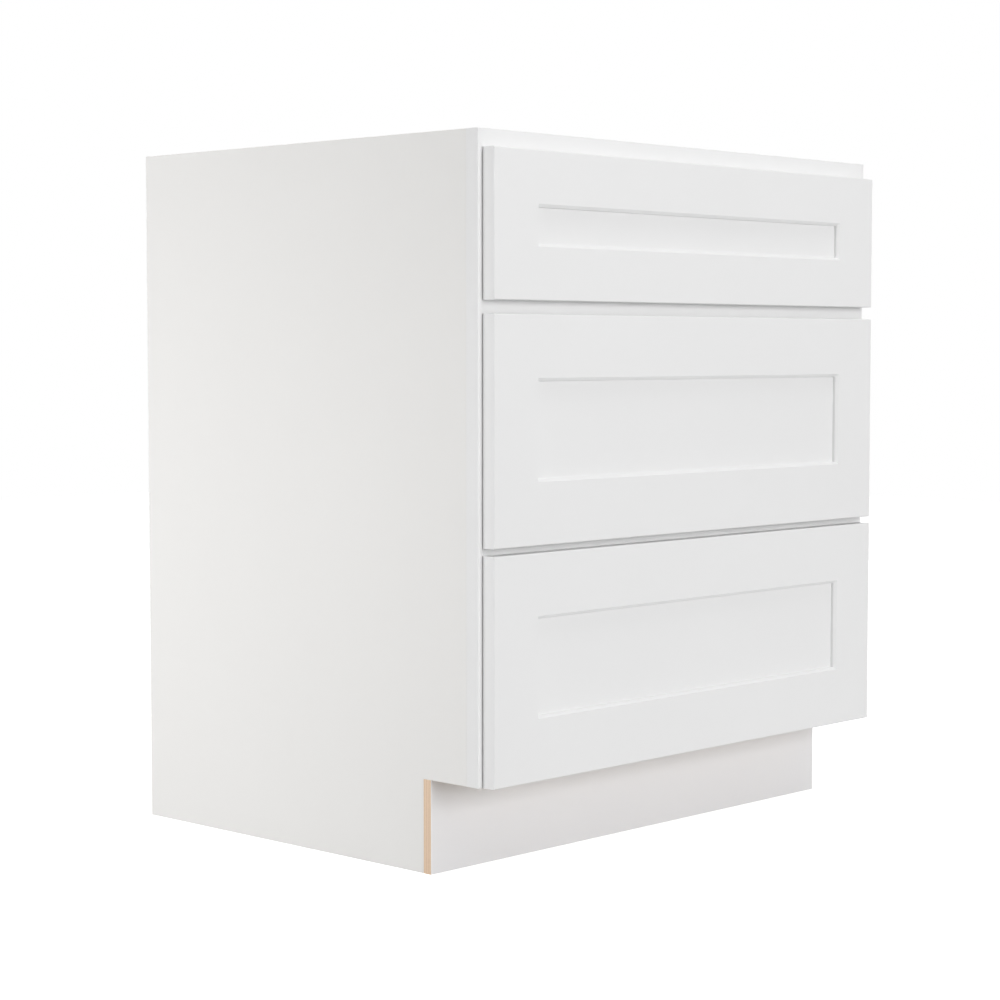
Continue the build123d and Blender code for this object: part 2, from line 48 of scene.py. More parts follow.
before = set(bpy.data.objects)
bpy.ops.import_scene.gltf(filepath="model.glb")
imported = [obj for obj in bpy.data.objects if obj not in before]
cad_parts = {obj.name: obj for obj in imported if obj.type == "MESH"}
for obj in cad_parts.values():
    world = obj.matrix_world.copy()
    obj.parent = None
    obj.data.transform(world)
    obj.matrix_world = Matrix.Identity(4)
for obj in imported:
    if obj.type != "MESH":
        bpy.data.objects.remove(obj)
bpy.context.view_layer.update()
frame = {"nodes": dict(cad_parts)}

MM = 0.001
MERGE = 1e-6  # places nearer than this are one place
FLAT_ANGLE = math.radians(0.5)  # faces that turn less than this are one flat face
SHARP_ANGLE = math.radians(50)  # edges that turn more than this are sharp
NOSE_ANGLES = math.radians(30), math.radians(60)  # a brace's cut-off corners turn by a value in between
FACING = 0.7  # a surface looks along an axis if its normal's part on that axis is more than this
ASIDE = 0.1  # a face looks aside from an axis if its normal's part on that axis is less than this
LEVEL = 0.99  # a face is level, or an edge upright, if its share on Z is more than this
NEAR = 0.01 * MM  # lengths that differ by less than this are equal
SKIN = 0.3 * MM  # what lies nearer than this to a painted face is paint
BARE_HEIGHT = 2.0  # the fibres of bare wood stand this many times as high as the paint's peel
GUSSET_PLACES = (0.26, 0.68)  # where the ribs stand, as shares of a brace's flange
TURN_STEPS = 24  # the sides of a turned form
DOWN = Vector((0.0, 0.0, -1.0))
UP = Vector((0.0, 0.0, 1.0))
RIGHT = Vector((1.0, 0.0, 0.0))
BACK = Vector((0.0, 1.0, 0.0))
AXES = "XYZ"
DRAWERS = ("top", "middle", "bottom")
SIDES = ("left", "right")

# Places on the cabinet, read from the frame.
side_low, side_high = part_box("left_side_panel")
floor_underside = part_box("floor_panel")[0].z
toe_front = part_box("toe_board")[0].y
panel_thickness = side_high.x - side_low.x
half_width = -side_low.x
cabinet_back = side_high.y


def srgb(red, green, blue):
    """The linear colour of a display colour given from 0 to 255."""
    offset, power = 0.055, 2.4
    return tuple(((value / 255 + offset) / (1 + offset)) ** power for value in (red, green, blue))


# ---- Sizes and colours that a user would change ----
def colour(name, about, red, green, blue):
    """A colour property with a display colour as its default."""
    return FloatVectorProperty(
        name=name, description=about, subtype="COLOR", size=3, min=0, max=1, default=srgb(red, green, blue)
    )


def length(name, about, default):
    """A length property in metres."""
    return FloatProperty(
        name=name, description=about, subtype="DISTANCE", unit="LENGTH", default=default, precision=4
    )


def share(name, about, default):
    """A property from 0 to 1."""
    return FloatProperty(name=name, description=about, subtype="FACTOR", min=0, max=1, default=default)


def strength(name, about, default):
    """The strength of a light."""
    return FloatProperty(name=name, description=about, min=0, default=default)


def angle(name, about, degrees):
    """An angle property, with its default in degrees."""
    return FloatProperty(name=name, description=about, subtype="ANGLE", default=math.radians(degrees))


class PaintSettings(PropertyGroup):
    """The painted surfaces."""

    front: colour("Drawer fronts", "Paint of the five-piece fronts", 235, 235, 235)
    frame: colour("Face frame", "Paint of the face frame", 237, 237, 237)
    case: colour("Case sides", "Paint of the side panels", 236, 235, 233)
    # The real toe board carries the case's paint. This tone is paler than the case's as painted light, to
    # brighten the board that sits shaded under the drawer fronts' overhang.
    toe: colour("Toe board", "Paint of the toe board", 240, 239, 240)
    roughness: share("Roughness", "Roughness of the satin paint", 0.55)
    peel_size: length("Peel size", "Width of the fine ripples that spraying leaves", 1.8 * MM)
    peel_depth: length("Peel depth", "Depth of those ripples", 0.012 * MM)
    arris: length("Eased edge", "Rounding of the case panels' sharp edges", 0.4 * MM)


class WoodSettings(PropertyGroup):
    """Birch boards and plywood."""

    pale: colour("Early wood", "The palest wood", 233, 214, 182)
    middle: colour("Middle tone", "The usual tone of the wood", 224, 201, 163)
    deep: colour("Late wood", "Growth lines and streaks", 205, 175, 133)
    end_grain: colour("End grain", "Sawn ends of the boards", 188, 152, 108)
    glue: colour("Glue line", "The dark line between two plies", 160, 124, 84)
    raw_pale: colour("Raw pale ply", "The pale plies on cut edges", 241, 214, 187)
    raw_deep: colour("Raw dark ply", "The dark plies on cut edges", 229, 198, 168)
    ply_count: IntProperty(name="Plies", description="Layers in a plywood board", default=9, min=3)
    roughness: share("Roughness", "Roughness of the clear coat", 0.44)
    coat_waver: share("Coat waver", "How far the grain moves the clear coat's roughness", 0.1)
    figure: share("Figure", "How much the broad figure darkens the wood", 0.3)
    growth: share("Growth lines", "How much the growth lines darken the wood", 0.13)
    cloud: share("Clouds", "How much the cloudy tone darkens the wood", 0.34)
    fibre: share("Fibres", "How much the fibres darken the wood", 0.3)
    pore: share("Pores", "How dark the pores are", 0.4)
    glue_line: share("Glue lines", "How dark the lines between the plies are", 0.35)
    glue_width: share("Glue width", "Share of a ply that its glue line takes", 0.08)
    grain_depth: length("Grain depth", "Height of the grain under the clear coat", 0.03 * MM)
    joint_edge: length("Joint edge", "Rounding of the box boards' edges", 0.2 * MM)


class MetalSettings(PropertyGroup):
    """Zinc-plated steel."""

    sheet: colour("Runner zinc", "Zinc plating of the runners", 202, 205, 208)
    screws: colour("Screw zinc", "Zinc plating of the screws", 208, 208, 204)
    roughness: share("Roughness", "Roughness of the plating", 0.34)
    rolling_depth: length("Rolling depth", "Depth of the lines that rolling leaves", 0.006 * MM)
    bloom_depth: length("Bloom depth", "Unevenness of the screws' plating", 0.01 * MM)
    bend: length("Bend", "Rounding of the folded sheet's edges", 0.4 * MM)
    head_radius: length("Head radius", "Radius of a pan head", 3.6 * MM)
    head_height: length("Head height", "Height of a pan head", 1.8 * MM)
    shank_radius: length("Shank radius", "Radius of a screw's shank", 1.8 * MM)
    recess_length: length("Recess length", "Length of a cross recess from tip to tip", 3.3 * MM)
    recess_width: length("Recess width", "Width of a cross recess's arms", 0.9 * MM)
    recess_depth: length("Recess depth", "Depth of a cross recess", 1.1 * MM)
    recess_slope: length("Recess slope", "How far a cross recess's walls lean in", 0.1125 * MM)


class PlasticSettings(PropertyGroup):
    """Moulded parts."""

    nylon: colour("Nylon", "Roller cages", 228, 227, 220)
    rollers: colour("Rollers", "Rollers in the cages", 196, 199, 200)
    moulding: colour("Moulding", "Corner braces, rear brackets and lock clips", 152, 155, 158)
    lever: colour("Lever", "Release levers", 66, 69, 74)
    pad: colour("Bumper pad", "Clear pads on the face frame", 226, 229, 229)
    texture_depth: length("Texture depth", "Depth of the moulds' fine texture", 0.012 * MM)
    haze_depth: length("Haze depth", "Unevenness of the clear pads", 0.01 * MM)
    arris: length("Moulded edge", "Rounding of the mouldings' edges", 0.4 * MM)
    bracket_wall: length("Bracket wall", "Thickness of a rear bracket's plates", 3.0 * MM)
    bracket_corner: length("Bracket corner", "Rounding of a rear bracket's free corners", 4.0 * MM)
    brace_nose: length("Brace nose", "Rounding of a brace's cut-off corners", 9.0 * MM)
    rim: length("Rim", "Width of the raised rim round a brace's plate", 2.6 * MM)
    rim_height: length("Rim height", "Height of that rim", 1.2 * MM)
    rim_slope: length("Rim slope", "How far that rim's inner side leans in", 0.35 * MM)
    brace_wall: length("Brace wall", "Thickness of a brace's plate and flanges", 4.0 * MM)
    gusset: length("Gusset", "Reach of the ribs between a brace's plate and flanges", 13.0 * MM)
    gusset_wall: length("Gusset wall", "Thickness of those ribs", 2.2 * MM)
    grip_depth: length("Grip depth", "Depth of the notches round a lever's tip", 0.35 * MM)
    grip_slope: length("Grip slope", "How far a notch's walls lean in", 0.21 * MM)
    grip_reach: length("Grip reach", "How far the notches reach from a lever's inner end", 6.5 * MM)
    cage_wall: length("Cage wall", "Thickness of a cage's walls", 1.7 * MM)
    cells: IntProperty(name="Cells", description="Rollers in each row of a cage", default=9, min=2)
    window: length("Window", "Width of a cage's windows", 2.7 * MM)
    window_depth: length("Window depth", "Depth of a cage's windows on each side", 0.5 * MM)
    window_slope: length("Window slope", "How far a window's walls lean in", 0.08 * MM)
    roller_radius: length("Roller radius", "Radius of a roller", 0.95 * MM)
    roller_gap: length("Roller gap", "Play at each end of a roller", 0.25 * MM)


class StageSettings(PropertyGroup):
    """Camera, floor and lights."""

    camera_place: FloatVectorProperty(
        name="Camera place", description="Where the camera stands", subtype="XYZ", unit="LENGTH",
        default=(-2.3441, -2.1962, 0.6245),
    )
    heading: angle("Heading", "Turn of the view from +Y towards +X", 46.448)
    tilt: angle("Tilt", "How far the camera looks down", 3.657)
    lens: FloatProperty(name="Lens", description="Focal length in mm on a 36 mm sensor", default=85.48)
    floor_size: length("Floor size", "Side of the square floor", 12.0)
    floor: colour("Floor", "The pale floor", 210, 210, 210)
    floor_glow: strength("Floor glow", "Light that the floor shows to the camera and in reflections", 0.88)
    sky: strength("Sky", "The even light from all round", 0.285)
    key_power: strength("Key power", "Lamp ahead of the fronts, in watts", 212.0)
    side_power: strength("Side power", "Lamp beside the left panel, in watts", 31.0)
    top_power: strength("Top power", "Lamp above the fronts, in watts", 32.0)
    right_power: strength("Right power", "Lamp behind the right panel, in watts", 45.0)


# ---- Shader maths ----
class Value:
    """A shader socket that takes part in plain arithmetic, where each operator adds a Math node."""

    def __init__(self, shade, socket):
        self.shade = shade
        self.socket = socket

    def __add__(self, other):
        return self.shade.maths("ADD", self, other)

    def __sub__(self, other):
        return self.shade.maths("SUBTRACT", self, other)

    def __mul__(self, other):
        return self.shade.maths("MULTIPLY", self, other)

    def __gt__(self, other):
        return self.shade.maths("GREATER_THAN", self, other)

    def __lt__(self, other):
        return self.shade.maths("LESS_THAN", self, other)

    def __abs__(self):
        return self.shade.maths("ABSOLUTE", self)

    def __radd__(self, other):
        return self.shade.maths("ADD", other, self)

    def __rsub__(self, other):
        return self.shade.maths("SUBTRACT", other, self)

    def __rmul__(self, other):
        return self.shade.maths("MULTIPLY", other, self)


class Shade:
    """The node tree of a new material or of a new world."""

    def __init__(self, name, library="materials"):
        self.owner = getattr(bpy.data, library).new(name)
        self.owner.use_nodes = True
        self.tree = self.owner.node_tree
        self.tree.nodes.clear()
        self.place, self.normal = self.node("ShaderNodeTexCoord", outputs=("Object", "Normal"))

    def node(self, kind, settings=None, inputs=None, outputs=(0,)):
        """Adds a node with its settings and its sockets' values or links, and returns its outputs."""
        made = self.tree.nodes.new(kind)
        for name, setting in (settings or {}).items():
            if name == "stops":
                self.set_stops(made.color_ramp, setting)
            else:
                setattr(made, name, setting)
        for name, value in (inputs or {}).items():
            if isinstance(value, Value):
                self.tree.links.new(value.socket, made.inputs[name])
            else:
                made.inputs[name].default_value = value
        results = [Value(self, made.outputs[name]) for name in outputs]
        return results[0] if len(results) == 1 else results

    @staticmethod
    def set_stops(ramp, stops):
        """Gives a colour ramp its stops, each a place and a colour."""
        while len(ramp.elements) < len(stops):
            ramp.elements.new(1.0)
        for element, (position, tone) in zip(ramp.elements, stops):
            element.position = position
            element.color = (*tone, 1.0)

    def maths(self, operation, *values):
        """A Math node on one or two values."""
        return self.node("ShaderNodeMath", {"operation": operation}, dict(enumerate(values)))

    def mix(self, factor, first, second):
        """A colour between two others."""
        inputs = {0: factor, 6: with_alpha(first), 7: with_alpha(second)}
        return self.node("ShaderNodeMix", {"data_type": "RGBA"}, inputs, outputs=(2,))

    def drawn_out(self, axis, stretch):
        """The place on the object, scaled so that a pattern is drawn out along one axis."""
        scales = [1.0, 1.0, 1.0]
        scales[AXES.index(axis)] = 1 / stretch
        return self.node("ShaderNodeVectorMath", {"operation": "MULTIPLY"}, {0: self.place, 1: scales})

    def noise(self, vector, scale, detail=2.0, distortion=0.0):
        """Smooth noise from 0 to 1, with a scale in waves per metre."""
        inputs = {"Vector": vector, "Scale": scale, "Detail": detail, "Distortion": distortion}
        return self.node("ShaderNodeTexNoise", inputs=inputs)

    def ramp(self, factor, *stops):
        """A colour ramp with some stops, each a place from 0 to 1 and a colour."""
        return self.node("ShaderNodeValToRGB", {"stops": stops}, {0: factor})

    def along(self, vector, axis):
        """The part of a vector on one axis."""
        return self.node("ShaderNodeSeparateXYZ", inputs={0: vector}, outputs=(AXES.index(axis),))

    def looks_along(self, axis):
        """Whether the surface looks along an axis, forwards or backwards: 1 or 0."""
        return abs(self.along(self.normal, axis)) > FACING

    def surface(self, base, roughness, height=None, depth=0.0, **constants):
        """The finished surface: a Principled shader with an optional bump."""
        inputs = {"Base Color": with_alpha(base), "Roughness": roughness}
        if height is not None:
            bump = {"Strength": 1.0, "Distance": depth, "Height": height}
            inputs["Normal"] = self.node("ShaderNodeBump", inputs=bump)
        inputs.update(constants)
        shader = self.node("ShaderNodeBsdfPrincipled", inputs=inputs)
        self.node("ShaderNodeOutputMaterial", inputs={"Surface": shader}, outputs=())
        return self.owner


def with_alpha(tone):
    """A plain colour as four numbers; a socket stays as it is."""
    return tone if isinstance(tone, Value) else (*tone, 1.0)


def toned(tone, factor):
    """A plain colour made darker or paler."""
    return tuple(min(1.0, value * factor) for value in tone)


def mottled(shade, pattern, tone, start, end):
    """A colour that a pattern from 0 to 1 takes from one share of its tone to another."""
    return shade.mix(pattern, toned(tone, start), toned(tone, end))


def wavering(roughness, pattern, spread, middle=0.5):
    """A roughness that a pattern from 0 to 1 makes stray to both sides of the pattern's middle."""
    return roughness + pattern * spread - spread * middle


# ---- Finishes ----
def paint_layer(shade, paint, tone):
    """Sprayed satin paint: its colour, its roughness and the height of its fine peel."""
    flow_size = 9 * paint.peel_size
    flow_share = 0.35
    cloud = shade.noise(shade.place, scale=3.0)
    flow = shade.noise(shade.place, scale=1 / flow_size, detail=3.0)
    peel = shade.noise(shade.place, scale=1 / paint.peel_size, distortion=0.4)
    tint = mottled(shade, cloud, tone, start=0.985, end=1.012)
    return tint, wavering(paint.roughness, flow, spread=0.08), peel * (1 - flow_share) + flow * flow_share


def wood_layer(shade, wood, grain):
    """Clear-coated birch with its grain along one axis: its colour and its height."""
    line_count = 15.0  # growth lines between the figure's lowest and highest value
    line_crest = 4.0  # the higher, the narrower is the dark part of a growth line
    pore_level = 0.68  # noise above this level is a pore
    pore_depth = 0.5  # as a share of the fibres' height
    figure = shade.noise(shade.drawn_out(grain, 13), scale=6.5, distortion=0.5)
    growth = shade.maths("POWER", shade.maths("FRACT", figure * line_count), line_crest)
    cloud = shade.noise(shade.drawn_out(grain, 4), scale=14.0)
    fibres = shade.noise(shade.drawn_out(grain, 70), scale=1300.0, detail=3.0)
    pores = shade.noise(shade.drawn_out(grain, 11), scale=1700.0, detail=1.0) > pore_level
    tone = figure * wood.figure + growth * wood.growth + cloud * wood.cloud + fibres * wood.fibre
    tint = shade.ramp(tone, (0.3, wood.pale), (0.54, wood.middle), (0.82, wood.deep))
    return shade.mix(pores * wood.pore, tint, wood.deep), fibres - pores * pore_depth


def end_layer(shade, wood, grain):
    """Sawn end grain on the faces that cut the grain: its colour."""
    straight_through = shade.drawn_out(grain, math.inf)
    rings = shade.noise(straight_through, scale=520.0, detail=3.0, distortion=1.2)
    return mottled(shade, rings, wood.end_grain, start=1.0, end=0.82)


def ply_layer(shade, wood, depth, thickness):
    """The cut edge of a plywood board at a depth below its face: its colour and height."""
    plies = depth * (wood.ply_count / thickness)
    is_cross_ply = abs(shade.maths("MODULO", shade.maths("FLOOR", plies), 2.0))
    is_glue = shade.maths("FRACT", plies) < wood.glue_width
    fibre = shade.noise(shade.place, scale=340.0, detail=4.0)
    pale = mottled(shade, fibre, wood.raw_pale, start=1.0, end=0.92)
    deep = mottled(shade, fibre, wood.raw_deep, start=1.0, end=0.84)
    return shade.mix(is_glue * wood.glue_line, shade.mix(is_cross_ply, pale, deep), wood.glue), fibre


def painted(name, paint, tone):
    """Paint all over."""
    shade = Shade(name)
    tint, roughness, height = paint_layer(shade, paint, tone)
    return shade.surface(tint, roughness, height, paint.peel_depth)


def painted_frame(name, settings, grain):
    """A face frame member: paint, with bare wood on its back."""
    paint, wood = settings.cabinet_paint, settings.cabinet_wood
    shade = Shade(name)
    tint, roughness, height = paint_layer(shade, paint, paint.frame)
    bare, fibres = wood_layer(shade, wood, grain)
    is_back = shade.along(shade.normal, "Y") > FACING
    height = height + is_back * fibres
    return shade.surface(shade.mix(is_back, tint, bare), roughness, height, paint.peel_depth)


def side_finish(settings):
    """A side panel: paint outside, birch veneer inside and bare plies on its edges."""
    paint, wood = settings.cabinet_paint, settings.cabinet_wood
    shade = Shade("side_panel_finish")
    tint, roughness, height = paint_layer(shade, paint, paint.case)
    veneer, fibres = wood_layer(shade, wood, "Z")
    from_middle = abs(shade.along(shade.place, "X"))
    plies, _ = ply_layer(shade, wood, half_width - from_middle, panel_thickness)
    is_outside = from_middle > half_width - SKIN
    inside = shade.mix(shade.looks_along("X"), plies, veneer)
    height = is_outside * height + (1 - is_outside) * (fibres * BARE_HEIGHT)
    return shade.surface(shade.mix(is_outside, inside, tint), roughness, height, paint.peel_depth)


def toe_finish(settings):
    """The toe board: paint in front, veneer behind and raw plies on its ends."""
    paint, wood = settings.cabinet_paint, settings.cabinet_wood
    shade = Shade("toe_board_finish")
    # paint.toe is the case paint made paler: painted light for the board shaded under the overhang
    tint, roughness, height = paint_layer(shade, paint, paint.toe)
    veneer, _ = wood_layer(shade, wood, "X")
    behind_face = shade.along(shade.place, "Y") - toe_front
    plies, fibre = ply_layer(shade, wood, behind_face, panel_thickness)
    is_face = behind_face < SKIN
    bare = shade.mix(shade.looks_along("Y"), plies, veneer)
    height = is_face * height + (1 - is_face) * (fibre * BARE_HEIGHT)
    return shade.surface(shade.mix(is_face, bare, tint), roughness, height, paint.peel_depth)


def veneer_panel(name, wood, grain, across, low, thickness):
    """Clear-coated birch plywood: veneer on its two faces and plies on its edges."""
    shade = Shade(name)
    veneer, fibres = wood_layer(shade, wood, grain)
    plies, fibre = ply_layer(shade, wood, shade.along(shade.place, across) - low, thickness)
    is_flat = shade.looks_along(across)
    height = is_flat * fibres + (1 - is_flat) * fibre
    roughness = wood.roughness + fibres * wood.coat_waver
    return shade.surface(shade.mix(is_flat, plies, veneer), roughness, height, wood.grain_depth)


def solid_board(name, wood, grain):
    """A clear-coated birch board, with end grain where its ends are cut."""
    shade = Shade(name)
    tint, fibres = wood_layer(shade, wood, grain)
    tint = shade.mix(shade.looks_along(grain), tint, end_layer(shade, wood, grain))
    return shade.surface(tint, wood.roughness + fibres * wood.coat_waver, fibres, wood.grain_depth)


def rolled_zinc(name, metal, along):
    """Zinc plating with the fine lines that rolling leaves along the strip."""
    shade = Shade(name)
    lines = shade.noise(shade.drawn_out(along, 60), scale=2600.0)
    bloom = shade.noise(shade.place, scale=60.0, detail=3.0)
    tint = mottled(shade, bloom, metal.sheet, start=0.93, end=1.03)
    roughness = wavering(metal.roughness, lines, spread=0.12)
    roughness = wavering(roughness, bloom, spread=0.1, middle=0.4)
    return shade.surface(tint, roughness, lines, metal.rolling_depth, Metallic=1.0)


def plated(name, metal):
    """Zinc plating on a turned or pressed part."""
    shade = Shade(name)
    bloom = shade.noise(shade.place, scale=260.0, detail=3.0)
    tint = mottled(shade, bloom, metal.screws, start=0.9, end=1.04)
    roughness = wavering(metal.roughness, bloom, spread=0.16)
    return shade.surface(tint, roughness, bloom, metal.bloom_depth, Metallic=1.0)


def moulded(name, plastic, tone, roughness):
    """Moulded plastic with a fine spark-eroded texture."""
    shade = Shade(name)
    texture = shade.noise(shade.place, scale=2400.0)
    bloom = shade.noise(shade.place, scale=45.0)
    tint = mottled(shade, bloom, tone, start=0.96, end=1.04)
    return shade.surface(tint, wavering(roughness, texture, spread=0.12), texture, plastic.texture_depth)


def clear_pad(plastic, roughness):
    """Soft polyurethane, almost clear, drawn as an opaque colour close to the paint behind it."""
    shade = Shade("clear_pad_finish")
    haze = shade.noise(shade.place, scale=700.0)
    tint = mottled(shade, haze, plastic.pad, start=0.97, end=1.02)
    return shade.surface(tint, wavering(roughness, haze, spread=0.08), haze, plastic.haze_depth)


def dress(node, material):
    """Gives a CAD node its finish."""
    part = frame["nodes"][node]
    part.data.materials.clear()
    part.data.materials.append(material)


def ease_edges(node, width):
    """Rounds a CAD node's sharp edges a little, with modifiers alone."""
    part = frame["nodes"][node]
    weld = part.modifiers.new("weld", "WELD")
    weld.merge_threshold = MERGE
    flat = part.modifiers.new("flat", "DECIMATE")
    flat.decimate_type = "DISSOLVE"
    flat.angle_limit = FLAT_ANGLE
    arris = part.modifiers.new("arris", "BEVEL")
    arris.width = width
    arris.segments = 2
    arris.limit_method = "ANGLE"
    arris.angle_limit = SHARP_ANGLE
    normals = part.modifiers.new("normals", "WEIGHTED_NORMAL")
    normals.keep_sharp = True


# ---- Shapes ----
def found(items, what):
    """Some items of a mesh, or an error if there are none, as the shape can't be finished without them."""
    if not items:
        raise RuntimeError(f"The mesh has no {what}.")
    return items


def merged_copy(node):
    """A copy of a CAD node's mesh with its loose triangles joined and its flat faces made whole."""
    work = bmesh.new()
    work.from_mesh(frame["nodes"][node].data)
    bmesh.ops.remove_doubles(work, verts=work.verts, dist=MERGE)
    bmesh.ops.dissolve_limit(work, angle_limit=FLAT_ANGLE, verts=work.verts, edges=work.edges)
    return work


def solids_of(node):
    """The corners of each separate solid of a CAD node."""
    work = merged_copy(node)
    solids = []
    reached = set()
    for start in work.verts:
        if start in reached:
            continue
        reached.add(start)
        waiting = [start]
        corners = []
        while waiting:
            corner = waiting.pop()
            corners.append(corner.co.copy())
            for edge in corner.link_edges:
                other = edge.other_vert(corner)
                if other not in reached:
                    reached.add(other)
                    waiting.append(other)
        solids.append(corners)
    work.free()
    return solids


def box_of(corners):
    """The lowest and the highest corner of the box round some corners."""
    low = Vector([min(corner[axis] for corner in corners) for axis in range(3)])
    high = Vector([max(corner[axis] for corner in corners) for axis in range(3)])
    return low, high


def is_within(spot, low, high):
    """Whether a point lies in a box."""
    return all(low[axis] - MERGE < spot[axis] < high[axis] + MERGE for axis in range(3))


def folded(edge, least, most=math.pi):
    """Whether the faces on the two sides of an edge turn by an angle between two others."""
    return edge.is_manifold and least < edge.calc_face_angle() < most


def round_edges(work, edges, width, segments=2):
    """Bevels some edges of a bmesh."""
    bmesh.ops.bevel(
        work, geom=edges, offset=width, offset_type="OFFSET", segments=segments, profile=0.5,
        affect="EDGES", clamp_overlap=True, material=-1,
    )


def cut_faces(work, faces, place, normal):
    """Cuts some faces of a bmesh along a plane."""
    edges = dict.fromkeys(edge for face in faces for edge in face.edges)
    corners = dict.fromkeys(corner for face in faces for corner in face.verts)
    geometry = [*faces, *edges, *corners]
    bmesh.ops.bisect_plane(work, geom=geometry, dist=MERGE, plane_co=place, plane_no=normal)


def soften(work, width):
    """Rounds every sharp edge of a bmesh a little."""
    round_edges(work, [edge for edge in work.edges if folded(edge, SHARP_ANGLE)], width)


def turned(outline):
    """A closed turned form about Z, from its outline in pairs of radius and height."""
    work = bmesh.new()
    corners = [work.verts.new((radius, 0.0, height)) for radius, height in outline]
    edges = [work.edges.new(pair) for pair in zip(corners, corners[1:])]
    bmesh.ops.spin(
        work, geom=corners + edges, cent=(0, 0, 0), axis=(0, 0, 1), angle=math.tau, steps=TURN_STEPS,
        use_merge=True,
    )
    bmesh.ops.remove_doubles(work, verts=work.verts, dist=MERGE)
    bmesh.ops.recalc_face_normals(work, faces=work.faces)
    return work


def placed(place, way):
    """The matrix that puts a form's origin at a place and turns its foot from below to a direction."""
    return Matrix.Translation(place) @ DOWN.rotation_difference(way).to_matrix().to_4x4()


def add_part(work, part, place, way):
    """Adds a small bmesh to a larger one, with its top at a place and its foot in a direction."""
    bmesh.ops.transform(part, matrix=placed(place, way), verts=part.verts)
    carrier = bpy.data.meshes.new("carrier")
    part.to_mesh(carrier)
    part.free()
    work.from_mesh(carrier)
    bpy.data.meshes.remove(carrier)


def piece(name, work, finish, body, slot, *nodes):
    """Makes a bmesh a piece of the scene that rides on a body and stands for CAD nodes."""
    bmesh.ops.recalc_face_normals(work, faces=work.faces)
    for face in work.faces:
        face.smooth = True
    for edge in work.edges:
        edge.smooth = not folded(edge, SHARP_ANGLE)
    mesh = bpy.data.meshes.new(name)
    work.to_mesh(mesh)
    work.free()
    mesh.materials.append(finish)
    made = bpy.data.objects.new(name, mesh)
    bpy.context.scene.collection.objects.link(made)
    normals = made.modifiers.new("normals", "WEIGHTED_NORMAL")
    normals.keep_sharp = True
    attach(made, body)
    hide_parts(*nodes)


def screw_places(node):
    """Each screw of a CAD node: the top of its head, the way its shank points and its whole length."""
    places = []
    for corners in solids_of(node):
        low, high = box_of(corners)
        size = high - low
        axis = max(range(3), key=lambda index: size[index])
        top = (low + high) / 2
        reach = {}
        for end in (low[axis], high[axis]):
            top[axis] = end
            reach[end] = max((corner - top).length for corner in corners if abs(corner[axis] - end) < MERGE)
        top[axis] = max(reach, key=reach.get)
        way = Vector((0.0, 0.0, 0.0))
        way[axis] = 1.0 if top[axis] == low[axis] else -1.0
        places.append((top, way, size[axis]))
    return places


def cross_recess(work, metal):
    """Sinks a cross into the flat top of a screw's head."""
    tip, flank = metal.recess_length / 2, metal.recess_width / 2

    def top_faces():
        return [face for face in work.faces if face.calc_center_median().z > -MERGE]

    for way in (RIGHT, BACK):
        for reach in (-tip, -flank, flank, tip):
            cut_faces(work, top_faces(), way * reach, way)
    cross = []
    for face in top_faces():
        spot = face.calc_center_median()
        narrow, wide = sorted((abs(spot.x), abs(spot.y)))
        if narrow < flank and wide < tip:
            cross.append(face)
    region = bmesh.ops.dissolve_faces(work, faces=found(cross, "face for a cross recess"))["region"]
    bmesh.ops.inset_region(
        work, faces=region, thickness=metal.recess_slope, depth=-metal.recess_depth, use_even_offset=True
    )


def pan_screw(metal, size):
    """A pan-head screw of some whole length, with the top of its head at the origin and its point below."""
    radius, height, shank = metal.head_radius, metal.head_height, metal.shank_radius
    outline = (
        (0.0, 0.0),
        (radius * 0.56, 0.0),
        (radius * 0.84, -height * 0.2),
        (radius, -height * 0.58),
        (radius, -height * 0.94),
        (radius * 0.97, -height),
        (shank, -height),
        (shank, shank * 2 - size),
        (0.0, -size),
    )
    work = turned(outline)
    cross_recess(work, metal)
    return work


def bumper_pad(radius, height):
    """A domed pad with its crown at the origin and its flat foot below."""
    outline = (
        (0.0, 0.0),
        (radius * 0.5, -height * 0.06),
        (radius * 0.78, -height * 0.26),
        (radius * 0.94, -height * 0.58),
        (radius, -height),
        (0.0, -height),
    )
    return turned(outline)


def gusset(work, foot, out, along, plastic):
    """A three-cornered rib that reaches out and down from a foot, with its middle at the foot."""
    wall = along * plastic.gusset_wall
    start = foot - wall / 2
    corners = (start, start + out * plastic.gusset, start + DOWN * plastic.gusset)
    face = work.faces.new([work.verts.new(corner) for corner in corners])
    made = bmesh.ops.extrude_face_region(work, geom=[face])["geom"]
    moved = [item for item in made if isinstance(item, bmesh.types.BMVert)]
    bmesh.ops.translate(work, vec=wall, verts=moved)


def brace_gussets(work, plastic):
    """Adds two ribs to each flange of the corner braces, between the screws."""
    wall = plastic.brace_wall
    for corners in solids_of("corner_braces"):
        low, high = box_of(corners)
        inwards_x = Vector((1.0 if low.x < 0 else -1.0, 0.0, 0.0))
        inwards_y = Vector((0.0, 1.0 if low.y < 0 else -1.0, 0.0))
        corner = Vector((low.x if low.x < 0 else high.x, low.y if low.y < 0 else high.y, high.z - wall))
        leg = high.x - low.x
        for place in GUSSET_PLACES:
            for along, out in ((inwards_x, inwards_y), (inwards_y, inwards_x)):
                gusset(work, corner + along * leg * place + out * wall, out, along, plastic)


def cage_rows(low, high, wall):
    """A cage's three rows of rollers: each wall's middle, the way its rollers lie and its inner width."""
    middle = (low + high) / 2
    half = wall / 2
    rows = []
    for x in (low.x + half, high.x - half):
        rows.append((Vector((x, 0.0, middle.z - half)), UP, high.z - low.z - wall))
    rows.append((Vector((middle.x, 0.0, high.z - half)), RIGHT, high.x - low.x - 2 * wall))
    return rows


def window_border(pitch, plastic):
    """The nylon between a window and the edge of its cell."""
    return (pitch - plastic.window) / 2


